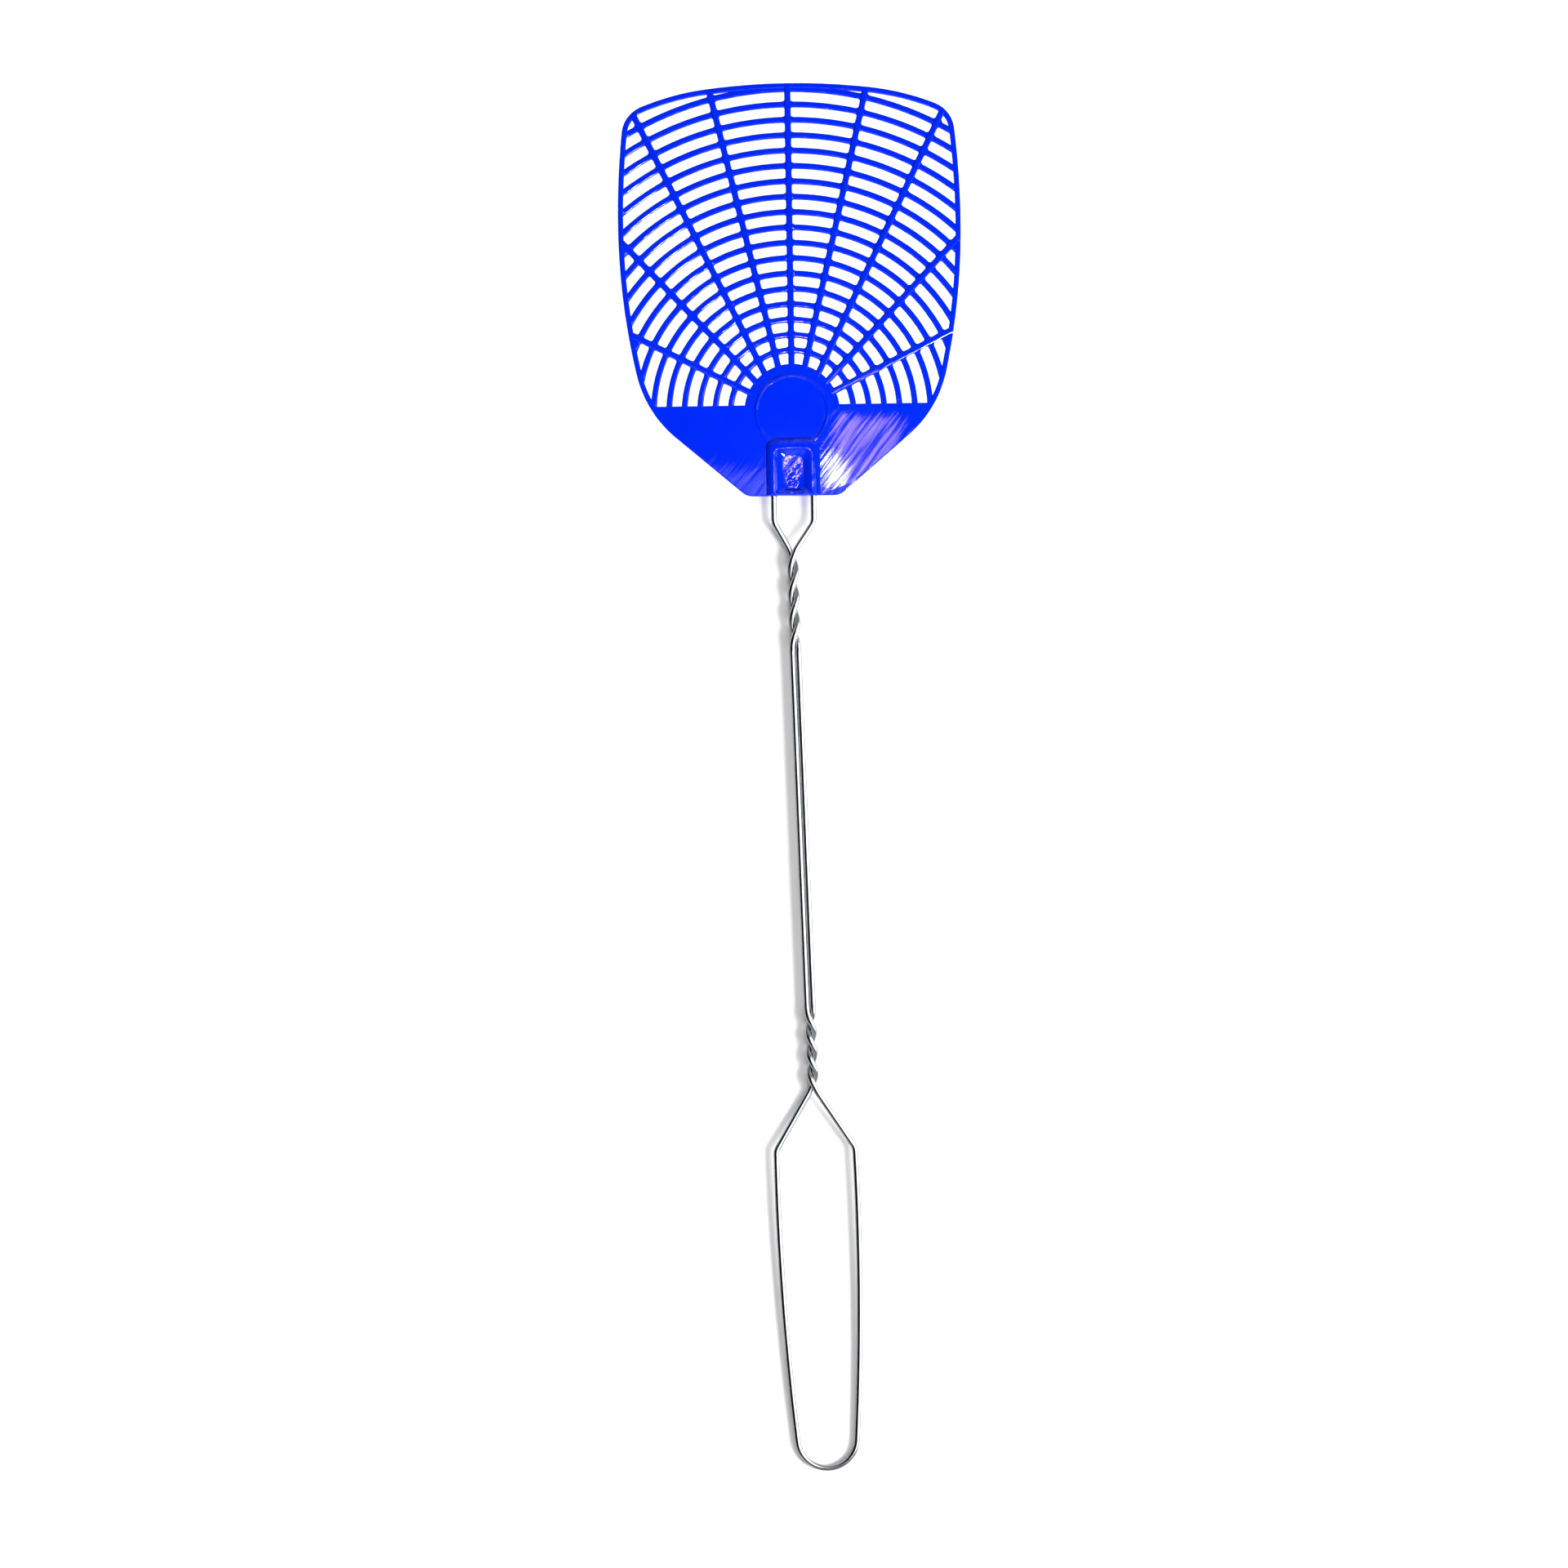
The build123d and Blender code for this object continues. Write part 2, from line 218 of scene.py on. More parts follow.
# ---------------------------------------------------------------- mesh helpers
def new_piece(name, bm, material, body, nodes):
    """Turns a bmesh in millimetres into a shown piece of the swatter."""
    bmesh.ops.recalc_face_normals(bm, faces=bm.faces)
    bmesh.ops.scale(bm, vec=(MM, MM, MM), verts=bm.verts)
    mesh = bpy.data.meshes.new(name)
    bm.to_mesh(mesh)
    bm.free()
    piece = bpy.data.objects.new(name, mesh)
    bpy.context.scene.collection.objects.link(piece)
    mesh.materials.append(material)
    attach(piece, body)
    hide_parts(*nodes)
    return piece


def loop_of(bm, points):
    return [bm.verts.new(p) for p in points]


def bridge(bm, first, second):
    """Quads between two closed loops of equally many vertices."""
    count = len(first)
    for i in range(count):
        j = (i + 1) % count
        bm.faces.new((first[i], first[j], second[j], second[i]))


def bar(bm, path, section, closed=False):
    """Sweeps a section, given as (sideways, up) pairs, along a flat path at the blade's mid height."""
    count = len(path)
    loops = []
    for i, point in enumerate(path):
        before = path[i - 1] if (closed or i > 0) else point
        after = path[(i + 1) % count] if (closed or i < count - 1) else point
        along = (after - before).normalized()
        side = Vector((along.y, -along.x))
        loops.append(loop_of(bm, [(*(point + side * u), MID_Z + v) for u, v in section]))
    for i in range(count if closed else count - 1):
        bridge(bm, loops[i], loops[(i + 1) % count])
    if not closed:
        bm.faces.new(loops[0])
        bm.faces.new(loops[-1])


def bar_section(width, thickness):
    """A moulded bar: widest at mid height, drafted towards both faces, with rounded edges."""
    corner = []
    for step in range(BAR_EDGE_STEPS + 1):
        angle = pi / 2 * step / BAR_EDGE_STEPS
        u = width / 2 - DRAFT - EDGE_R * (1 - cos(angle))
        v = thickness / 2 - EDGE_R * (1 - sin(angle))
        corner.append((u, v))
    right = [(width / 2, 0.0), *corner]
    top_left = [(-u, v) for u, v in reversed(right)]
    lower = [(u, -v) for u, v in reversed(corner)]
    lower_left = [(-u, -v) for u, v in corner]
    return [*right, *top_left, *lower_left, *lower]


def arc_points(centre, radius, start, end, spacing):
    """Points on an arc, from one angle to another measured clockwise from +Y."""
    count = max(3, round(abs(end - start) * radius / spacing))
    angles = [start + (end - start) * i / count for i in range(count + 1)]
    return [centre + Vector((sin(a), cos(a))) * radius for a in angles]


# ---------------------------------------------------------------- blade's plan
def half_outline():
    """Right half of the outline, from the middle of the top edge to the middle of the foot."""
    point = Vector((0.0, TOP_Y))
    heading = 0.0
    points = [point.copy()]

    def follow(radius, turn):
        nonlocal point, heading
        steps = max(4, round(radius * turn / PATH_SPACING))
        centre = point + Vector((-sin(heading), -cos(heading))) * radius
        for step in range(1, steps + 1):
            a = heading + turn * step / steps
            points.append(centre + Vector((sin(a), cos(a))) * radius)
        heading += turn
        point = points[-1].copy()

    for radius, turn in OUTLINE_ARCS:
        follow(radius, radians(turn))
    corner_drop = FOOT_CORNER_R * (cos(heading) + 1)
    length = (point.y - FOOT_Y - corner_drop) / sin(heading)
    steps = round(length / PATH_SPACING)
    start = point.copy()
    along = Vector((cos(heading), -sin(heading)))
    points += [start + along * (length * step / steps) for step in range(1, steps + 1)]
    point = points[-1].copy()
    follow(FOOT_CORNER_R, pi - heading)
    steps = round(point.x / PATH_SPACING)
    start = point.copy()
    points += [Vector((start.x * (1 - step / steps), FOOT_Y)) for step in range(1, steps + 1)]
    return points


def inset(points, distance):
    """A closed clockwise outline moved inwards."""
    count = len(points)
    moved = []
    for i, point in enumerate(points):
        along = (points[(i + 1) % count] - points[i - 1]).normalized()
        moved.append(point + Vector((along.y, -along.x)) * distance)
    return moved


def whole_outline():
    right = half_outline()
    left = [Vector((-p.x, p.y)) for p in reversed(right[1:-1])]
    return right + left


def reach(origin, direction, polygon):
    """Distance from a point to a polygon's edge along a direction."""
    best = 0.0
    for i, p in enumerate(polygon):
        edge = p - polygon[i - 1]
        cross = direction.x * edge.y - direction.y * edge.x
        if abs(cross) > PARALLEL:
            to_edge = polygon[i - 1] - origin
            t = (to_edge.x * edge.y - to_edge.y * edge.x) / cross
            s = (to_edge.x * direction.y - to_edge.y * direction.x) / cross
            if t > best and -EDGE_SLACK <= s <= 1 + EDGE_SLACK:
                best = t
    return best


outline = whole_outline()
rim_middle = inset(outline, RIM_WIDTH / 2)
hub = Vector((0.0, HUB_Y))


def ring_end(radius):
    """Half angle of a ring: it ends inside the rim, or a little below the web's edge."""
    angle = acos((WEB_EDGE_Y - BURIED - HUB_Y) / radius)
    while angle > 0 and reach(hub, Vector((sin(angle), cos(angle))), rim_middle) < radius:
        angle -= RING_END_STEP
    return angle


def ribs():
    """Start, direction and length of every rib, from inside the hub to inside the rim."""
    found = []
    plans = [(0.0, 0.0)] + [(side * a, side * o) for side in (1, -1) for a, o in SIDE_RIBS]
    for degrees_off, sideways in plans:
        angle = radians(degrees_off)
        direction = Vector((sin(angle), cos(angle)))
        across = Vector((cos(angle), -sin(angle)))
        foot = hub + across * sideways
        start = ((HUB_R - BURIED) ** 2 - sideways ** 2) ** 0.5
        found.append((foot, direction, start, reach(foot, direction, rim_middle)))
    return found


def opening():
    """Edge of the grille's opening: the rim's inside, the web's straight edge and the hub's arc."""
    inner = inset(outline, RIM_WIDTH)
    above = [p for p in inner if p.y > WEB_EDGE_Y]
    right = [p for p in above if p.x >= 0]
    left = [p for p in above if p.x < 0]
    side_x = reach(Vector((0.0, WEB_EDGE_Y)), Vector((1.0, 0.0)), inner)
    hub_x = (HUB_R ** 2 - (WEB_EDGE_Y - HUB_Y) ** 2) ** 0.5
    start = atan2(hub_x, WEB_EDGE_Y - HUB_Y)
    arc = arc_points(hub, HUB_R, -start, start, HUB_SPACING)
    steps = round((side_x - hub_x) / WEB_EDGE_SPACING)
    edge = [hub_x + (side_x - hub_x) * i / steps for i in range(1, steps)]
    right_edge = [Vector((x, WEB_EDGE_Y)) for x in edge] + [Vector((side_x, WEB_EDGE_Y))]
    left_edge = [Vector((-side_x, WEB_EDGE_Y))] + [Vector((-x, WEB_EDGE_Y)) for x in reversed(edge)]
    return [*right, *reversed(right_edge), *reversed(arc), *reversed(left_edge), *left]


def base_plate():
    """Rim, web and hub disc in one plate with rounded edges and one opening."""
    bm = bmesh.new()
    half = WEB_THICKNESS / 2
    profile = []
    for step in range(PLATE_EDGE_STEPS + 1):
        angle = pi / 2 * step / PLATE_EDGE_STEPS
        profile.append((EDGE_R * (1 - sin(angle)), half - EDGE_R * (1 - cos(angle))))
    stations = profile + [(d, -v) for d, v in reversed(profile)]
    rims = []
    for points, direction in ((outline, 1), (opening(), -1)):
        loops = []
        for d, v in stations:
            loops.append(loop_of(bm, [(p.x, p.y, MID_Z + v) for p in inset(points, direction * d)]))
        for first, second in zip(loops, loops[1:]):
            bridge(bm, first, second)
        rims.append((loops[0], loops[-1]))
    for end in (0, 1):
        edges = []
        for pair in rims:
            loop = pair[end]
            for i, v in enumerate(loop):
                edges.append(bm.edges.get((loop[i - 1], v)))
        bmesh.ops.triangle_fill(bm, use_beauty=True, use_dissolve=False, edges=edges)
    return bm


def rings():
    bm = bmesh.new()
    section = bar_section(RING_WIDTH, RING_THICKNESS)
    for ring in range(FIRST_RING, LAST_RING + 1):
        radius = ring * RING_PITCH
        end = ring_end(radius)
        bar(bm, arc_points(hub, radius, -end, end, PATH_SPACING), section)
    return bm


def rib_bars():
    bm = bmesh.new()
    section = bar_section(RIB_WIDTH, RIB_THICKNESS)
    for foot, direction, start, end in ribs():
        steps = round((end - start) / RIB_SPACING)
        places = [start + (end - start) * i / steps for i in range(steps + 1)]
        bar(bm, [foot + direction * place for place in places], section)
    return bm


def corner_fillets():
    """Small concave fillets in the cells' corners, one four-armed web at each crossing."""
    bm = bmesh.new()
    half_z = RING_THICKNESS / 2 - EDGE_R / 3
    for foot, direction, start, end in ribs():
        sideways = (foot - hub).length
        across = Vector((direction.y, -direction.x))
        for ring in range(FIRST_RING, LAST_RING + 1):
            along = ((ring * RING_PITCH) ** 2 - sideways ** 2) ** 0.5
            if along > end - RING_WIDTH / 2 - CORNER_FILLET:
                continue
            centre = foot + direction * along
            reach_x = RIB_WIDTH / 2 - DRAFT
            reach_y = RING_WIDTH / 2 - DRAFT
            plan = []
            for quarter in range(4):
                sx = (1, 1, -1, -1)[quarter]
                sy = (1, -1, -1, 1)[quarter]
                angles = [pi / 2 * i / FILLET_STEPS for i in range(FILLET_STEPS + 1)]
                if quarter % 2:
                    angles.reverse()
                for a in angles:
                    x = reach_x + CORNER_FILLET * (1 - sin(a))
                    y = reach_y + CORNER_FILLET * (1 - cos(a))
                    plan.append(centre + across * (sx * x) + direction * (sy * y))
            top = loop_of(bm, [(*p, MID_Z + half_z) for p in plan])
            bottom = loop_of(bm, [(*p, MID_Z - half_z) for p in plan])
            bridge(bm, top, bottom)
            bm.faces.new(top)
            bm.faces.new(bottom)
    return bm


def bead():
    """Plain raised ring on the hub, half sunk in the plate."""
    bm = bmesh.new()
    lift = WEB_THICKNESS / 2
    section = []
    for step in range(BEAD_SIDES):
        a = 2 * pi * step / BEAD_SIDES
        section.append((BEAD_WIDTH / 2 * cos(a), lift + BEAD_HEIGHT * sin(a)))
    path = arc_points(hub, BEAD_R, 0, 2 * pi, HUB_SPACING)[:-1]
    bar(bm, path, section, closed=True)
    return bm


def rounded_frame(half_width, top, foot, top_r, foot_r, z):
    """A loop round a rectangle with rounded corners, with the same count of points at any size."""
    points = []
    for cx, cy, r, start in (
        (half_width - top_r, top - top_r, top_r, 0.0),
        (half_width - foot_r, foot + foot_r, foot_r, pi / 2),
        (-half_width + foot_r, foot + foot_r, foot_r, pi),
        (-half_width + top_r, top - top_r, top_r, 3 * pi / 2),
    ):
        for step in range(BOSS_CORNER_STEPS + 1):
            a = start + pi / 2 * step / BOSS_CORNER_STEPS
            points.append((cx + r * sin(a), cy + r * cos(a), z))
    return points


def boss():
    """The boss: a ridge over both sockets and across the top, round a sunk middle."""
    bm = bmesh.new()
    w = BOSS_WIDTH / 2
    top = FOOT_Y + BOSS_LENGTH
    stations = (
        # half width, top, foot, top corner radius, foot corner radius, height
        (w - 1.1, top - 1.1, FOOT_Y + 0.4, 2.4, 0.3, 0.0),
        (w - 0.7, top - 0.7, FOOT_Y + 0.16, 2.8, 0.3, 0.05),
        (w - 0.2, top - 0.2, FOOT_Y + 0.03, 3.3, 0.3, 0.3),
        (w, top, FOOT_Y, BOSS_CORNER_R, 0.3, 0.8),
        (w, top, FOOT_Y, BOSS_CORNER_R, 0.3, 2.6),
        (w - 0.12, top - 0.12, FOOT_Y, 3.4, 0.3, 3.15),
        (w - 0.42, top - 0.45, FOOT_Y + 0.02, 3.2, 0.3, 3.65),
        (w - 0.9, top - 1.0, FOOT_Y + 0.1, 2.9, 0.3, 4.12),
        (w - 1.5, top - 1.8, FOOT_Y + 0.3, 2.6, 0.3, 4.45),
        (w - 2.1, top - 2.8, FOOT_Y + 0.6, 2.4, 0.3, 4.63),
        (w - 2.75, top - 3.5, FOOT_Y + 0.8, 2.3, 0.4, BOSS_HEIGHT),
        (w - 3.4, top - 4.0, FOOT_Y + 1.1, 2.3, 0.8, 4.6),
        (w - 4.1, top - 4.5, FOOT_Y + 1.5, 2.3, 1.2, 4.28),
        (w - 4.7, top - 5.0, FOOT_Y + 1.9, 2.3, 1.5, 3.88),
        (w - 5.3, top - 5.5, FOOT_Y + 2.3, 2.2, 1.7, 3.5),
        (w - 5.9, top - 6.0, FOOT_Y + 2.7, 2.1, 1.7, 3.2),
        (w - 6.5, top - 6.6, FOOT_Y + 3.2, 1.9, 1.6, 3.04),
        (w - 7.1, top - 7.2, FOOT_Y + 3.7, 1.6, 1.4, 3.0),
    )
    loops = [loop_of(bm, rounded_frame(*station)) for station in stations]
    for first, second in zip(loops, loops[1:]):
        bridge(bm, first, second)
    bm.faces.new(loops[0])
    bm.faces.new(loops[-1])
    return bm


def sockets():
    """What is cut away for the two sockets: round bores with a small flared mouth."""
    bm = bmesh.new()
    stations = (
        (FOOT_Y - SOCKET_OVERRUN, SOCKET_R + SOCKET_MOUTH + SOCKET_OVERRUN),
        (FOOT_Y + SOCKET_MOUTH, SOCKET_R),
        (FOOT_Y + SOCKET_DEPTH, SOCKET_R),
    )
    for x in (LEG_X, -LEG_X):
        loops = []
        for y, radius in stations:
            turns = [2 * pi * i / SOCKET_SIDES for i in range(SOCKET_SIDES)]
            ring = [(x + radius * cos(a), y, WIRE_Z + radius * sin(a)) for a in turns]
            loops.append(loop_of(bm, ring))
        for first, second in zip(loops, loops[1:]):
            bridge(bm, first, second)
        bm.faces.new(loops[0])
        bm.faces.new(loops[-1])
    return bm


def scratch_object(name, bm):
    bmesh.ops.recalc_face_normals(bm, faces=bm.faces)
    mesh = bpy.data.meshes.new(name)
    bm.to_mesh(mesh)
    bm.free()
    piece = bpy.data.objects.new(name, mesh)
    bpy.context.scene.collection.objects.link(piece)
    return piece


def combined(base, others):
    """Applies a boolean with each of the other objects, and returns the result as a bmesh."""
    for other, operation in others:
        step = base.modifiers.new(other.name, "BOOLEAN")
        step.operation = operation
        step.solver = "MANIFOLD"
        step.object = other
    bpy.context.view_layer.update()
    evaluated = base.evaluated_get(bpy.context.evaluated_depsgraph_get())
    bm = bmesh.new()
    bm.from_mesh(evaluated.to_mesh())
    for piece in [base, *(other for other, _ in others)]:
        bpy.data.objects.remove(piece)
    return bm


def make_blade(material):
    """The blade, as one solid joined from its plate, bars, bead and boss, less the sockets."""
    base = scratch_object("plate", base_plate())
    others = [
        (scratch_object("rings", rings()), "UNION"),
        (scratch_object("fillets", corner_fillets()), "UNION"),
        (scratch_object("ribs", rib_bars()), "UNION"),
        (scratch_object("bead", bead()), "UNION"),
        (scratch_object("boss", boss()), "UNION"),
        (scratch_object("sockets", sockets()), "DIFFERENCE"),
    ]
    bm = combined(base, others)
    for face in bm.faces:
        face.smooth = face.calc_area() < FLAT_AREA
    blade = new_piece("blade", bm, material, "blade", ["swatter_blade"])
    blade.data.set_sharp_from_angle(angle=BLADE_SHARP)
    weighted = blade.modifiers.new("weighted_normals", "WEIGHTED_NORMAL")
    weighted.keep_sharp = True
    weighted.weight = NORMAL_WEIGHT
    return blade


# ---------------------------------------------------------------- wire
def arc_2d(points, heading, radius, turn):
    """Adds an arc to flat points, turning anticlockwise by a signed angle.

    Returns the new heading.
    """
    start = points[-1]
    sign = 1 if turn > 0 else -1
    centre = start + Vector((-sin(heading), cos(heading))) * (sign * radius)
    steps = max(6, round(abs(turn) * radius / WIRE_STEP))
    for step in range(1, steps + 1):
        a = heading - sign * pi / 2 + turn * step / steps
        points.append(centre + Vector((cos(a), sin(a))) * radius)
    return heading + turn


def straight(start, end):
    """Points of a straight run, without its start."""
    steps = max(1, round((end - start).length / (4 * WIRE_STEP)))
    return [start.lerp(end, step / steps) for step in range(1, steps + 1)]


def rounded(corners, radii):
    """Points along straight runs whose corners are rounded, without the first corner."""
    path = [corners[0]]
    for i, radius in enumerate(radii, 1):
        before = (corners[i] - corners[i - 1]).normalized()
        after = (corners[i + 1] - corners[i]).normalized()
        half_turn = before.angle(after) / 2
        setback = radius * tan(half_turn)
        begin = corners[i] - before * setback
        finish = corners[i] + after * setback
        inward = (after - before).normalized()
        centre = corners[i] + inward * (radius / cos(half_turn))
        path += straight(path[-1], begin)
        steps = max(4, round(2 * half_turn * radius / WIRE_STEP))
        for step in range(1, steps):
            swing = begin.lerp(finish, step / steps) - centre
            path.append(centre + swing.normalized() * radius)
        path.append(finish)
    return path[1:] + straight(path[-1], corners[-1])


def eased_turn(distance, length):
    """Share of a twist's turn reached at a distance, easing in over the first stretch."""
    if distance < TWIST_EASE:
        return distance ** 2 / (2 * TWIST_EASE) / (length - TWIST_EASE / 2)
    return (distance - TWIST_EASE / 2) / (length - TWIST_EASE / 2)


def twist(centre_at, length, side):
    """Points of one strand, from the straight pair's end of a twist to its crossing."""
    steps = round(length / WIRE_STEP)
    phase = 0 if side > 0 else pi
    points = []
    for step in range(steps + 1):
        distance = length * step / steps
        angle = phase - TWIST_TURNS * 2 * pi * eased_turn(distance, length)
        centre, sideways = centre_at(distance)
        points.append(centre + sideways * (STRAND_R * cos(angle)) + UP * (STRAND_R * sin(angle)))
    return points


UP = Vector((0, 0, 1))
UPPER_LENGTH = TWIST_TURNS * UPPER_PITCH + TWIST_EASE / 2
LOWER_LENGTH = TWIST_TURNS * LOWER_PITCH + TWIST_EASE / 2
LEAN_ARC_R = UPPER_LENGTH / LEAN
AXIS_DOWN = Vector((sin(LEAN), -cos(LEAN), 0))
AXIS_SIDE = Vector((cos(LEAN), sin(LEAN), 0))
SHAFT_TOP = CROSSING + Vector((LEAN_ARC_R * (1 - cos(LEAN)), -LEAN_ARC_R * sin(LEAN), 0))
SHAFT_FOOT = SHAFT_TOP + AXIS_DOWN * SHAFT_LENGTH
LOWER_CROSSING = SHAFT_FOOT + AXIS_DOWN * LOWER_LENGTH
LOOP_LENGTH = (LOWER_CROSSING.y + TOP_Y - END_BEND_R - WIRE_R) / cos(LEAN)
LOOP_TILT = asin((WIRE_Z - WIRE_R) / (LOOP_LENGTH + END_BEND_R))
LOOP_UP = AXIS_DOWN * -cos(LOOP_TILT) + UP * sin(LOOP_TILT)
LOOP_CENTRE = LOWER_CROSSING - LOOP_UP * LOOP_LENGTH


def upper_centre(distance):
    heading = LEAN * (1 - distance / UPPER_LENGTH)
    centre = CROSSING + Vector((LEAN_ARC_R * (1 - cos(heading)), -LEAN_ARC_R * sin(heading), 0))
    return centre, Vector((cos(heading), sin(heading), 0))


def lower_centre(distance):
    return SHAFT_FOOT + AXIS_DOWN * distance, AXIS_SIDE


def half_wire(side):
    """One half of the wire, from its tip in the blade to the middle of the loop's end bend."""
    upper_slope = 2 * pi * STRAND_R / UPPER_PITCH
    lower_slope = 2 * pi * STRAND_R / LOWER_PITCH
    tip = Vector((side * LEG_X, LEG_TOP_Y, WIRE_Z))
    corner = Vector((side * LEG_X, LEG_BEND_Y - LEG_BEND_R * tan(LEG_BEND / 2), WIRE_Z))
    meeting = CROSSING + UP * (side * STRAND_R)
    ahead = meeting + Vector((side * upper_slope, 1, 0)) * CROSSING_RUN
    points = [tip, *rounded([tip, corner, ahead, meeting], [LEG_BEND_R, CROSSING_BEND_R])]
    points += reversed(twist(upper_centre, UPPER_LENGTH, side)[:-1])
    lower = twist(lower_centre, LOWER_LENGTH, side)
    points += straight(points[-1], lower[0]) + lower[1:]

    flat = [Vector((0.0, -END_BEND_R))]
    heading = arc_2d(flat, 0.0, END_BEND_R, pi / 2 - LIMB_FLARE)
    heading = arc_2d(flat, heading, LIMB_R, LIMB_TURN)
    limb = [LOOP_CENTRE + AXIS_SIDE * (side * p.x) + LOOP_UP * p.y for p in flat]
    along = AXIS_SIDE * (side * cos(heading)) + LOOP_UP * sin(heading)
    meeting = LOWER_CROSSING + UP * (side * STRAND_R)
    below = meeting - (LOOP_UP - AXIS_SIDE * (side * lower_slope)) * CROSSING_RUN
    shoulder = limb[-1] + along * (SHOULDER_R * tan(SHOULDER_TURN / 2))
    limb += rounded([limb[-1], shoulder, below, meeting], [SHOULDER_R * SHOULDER_SHARE, CROSSING_BEND_R])
    points += reversed(limb[:-1])
    return points


def wire_path():
    right = half_wire(1)
    left = half_wire(-1)
    return right + list(reversed(left[:-1]))


def make_wire(material):
    """One wire bent double, as one tube with chamfered ends."""
    path = wire_path()
    bm = bmesh.new()
    place = bm.verts.layers.float_vector.new("wire_place")
    count = len(path)
    tangents = []
    for i in range(count):
        tangents.append((path[min(i + 1, count - 1)] - path[max(i - 1, 0)]).normalized())
    normal = Vector((1, 0, 0))
    travelled = 0.0
    loops = []

    def ring(centre, radius, tangent, across, distance):
        loop = []
        up = tangent.cross(across)
        for k in range(WIRE_SIDES):
            a = 2 * pi * k / WIRE_SIDES
            vertex = bm.verts.new(centre + (across * cos(a) + up * sin(a)) * radius)
            vertex[place] = Vector((cos(a), sin(a), distance * PLACE_SCALE))
            loop.append(vertex)
        loops.append(loop)

    for i, point in enumerate(path):
        tangent = tangents[i]
        if i:
            normal = tangents[i - 1].rotation_difference(tangent) @ normal
            travelled += (point - path[i - 1]).length
        normal = (normal - tangent * normal.dot(tangent)).normalized()
        if i == 0:
            ring(point, WIRE_R - TIP_CHAMFER, tangent, normal, travelled)
            ring(point + tangent * TIP_CHAMFER, WIRE_R, tangent, normal, travelled)
        elif i == count - 1:
            ring(point - tangent * TIP_CHAMFER, WIRE_R, tangent, normal, travelled)
            ring(point, WIRE_R - TIP_CHAMFER, tangent, normal, travelled)
        else:
            ring(point, WIRE_R, tangent, normal, travelled)
    for first, second in zip(loops, loops[1:]):
        bridge(bm, first, second)
    bm.faces.new(loops[0])
    bm.faces.new(loops[-1])
    for face in bm.faces:
        face.smooth = True
    nodes = ["fork_legs", "upper_twist", "shaft", "lower_twist", "grip_loop"]
    wire = new_piece("wire", bm, material, "handle", nodes)
    wire.data.set_sharp_from_angle(angle=WIRE_SHARP)
    return wire


# ---------------------------------------------------------------- materials
def shader(name):
    """A new material, its node tree and its Principled shader."""
    material = bpy.data.materials.new(name)
    material.use_nodes = True
    tree = material.node_tree
    return material, tree, tree.nodes["Principled BSDF"]


def node(tree, kind, **inputs):
    made = tree.nodes.new(kind)
    for key, value in inputs.items():
        made.inputs[key.replace("_", " ")].default_value = value
    return made


def noise(tree, vector, scale, detail=3.0, stretch=(1, 1, 1), turn=0.0):
    """Noise whose features are stretched and then turned about Z."""
    mapping = tree.nodes.new("ShaderNodeMapping")
    mapping.vector_type = "TEXTURE"
    mapping.inputs["Rotation"].default_value = (0, 0, turn)
    mapping.inputs["Scale"].default_value = stretch
    tree.links.new(vector, mapping.inputs["Vector"])
    texture = node(tree, "ShaderNodeTexNoise", Scale=scale, Detail=detail, Roughness=0.55)
    tree.links.new(mapping.outputs["Vector"], texture.inputs["Vector"])
    return texture.outputs["Fac"]


def ranged(tree, value, low, high, start=0.3, end=0.7):
    """Maps a value between start and end to a range."""
    made = tree.nodes.new("ShaderNodeMapRange")
    for key, number in (("From Min", start), ("From Max", end), ("To Min", low), ("To Max", high)):
        made.inputs[key].default_value = number
    tree.links.new(value, made.inputs["Value"])
    return made.outputs["Result"]


def two_tone(tree, value, first, second):
    """Mixes two colours by a value."""
    mix = tree.nodes.new("ShaderNodeMix")
    mix.data_type = "RGBA"
    mix.inputs[6].default_value = (*first, 1)
    mix.inputs[7].default_value = (*second, 1)
    tree.links.new(value, mix.inputs[0])
    return mix.outputs[2]


def bump(tree, height, distance, onto=None):
    made = tree.nodes.new("ShaderNodeBump")
    made.inputs["Strength"].default_value = 1.0
    made.inputs["Distance"].default_value = distance
    tree.links.new(height, made.inputs["Height"])
    if onto is not None:
        tree.links.new(onto, made.inputs["Normal"])
    return made.outputs["Normal"]


def maths(tree, operation, first, second=None):
    """A Math node on a linked value and, if given, on a number or another linked value."""
    made = tree.nodes.new("ShaderNodeMath")
    made.operation = operation
    tree.links.new(first, made.inputs[0])
    if isinstance(second, float):
        made.inputs[1].default_value = second
    elif second is not None:
        tree.links.new(second, made.inputs[1])
    return made.outputs["Value"]


def within(tree, vector, axis, middle, half_width, blur):
    """1 inside a band of one coordinate and 0 outside it, in metres."""
    parts = tree.nodes.new("ShaderNodeSeparateXYZ")
    tree.links.new(vector, parts.inputs["Vector"])
    distance = maths(tree, "ABSOLUTE", maths(tree, "SUBTRACT", parts.outputs[axis], middle))
    return ranged(tree, distance, 1.0, 0.0, half_width - blur, half_width + blur)


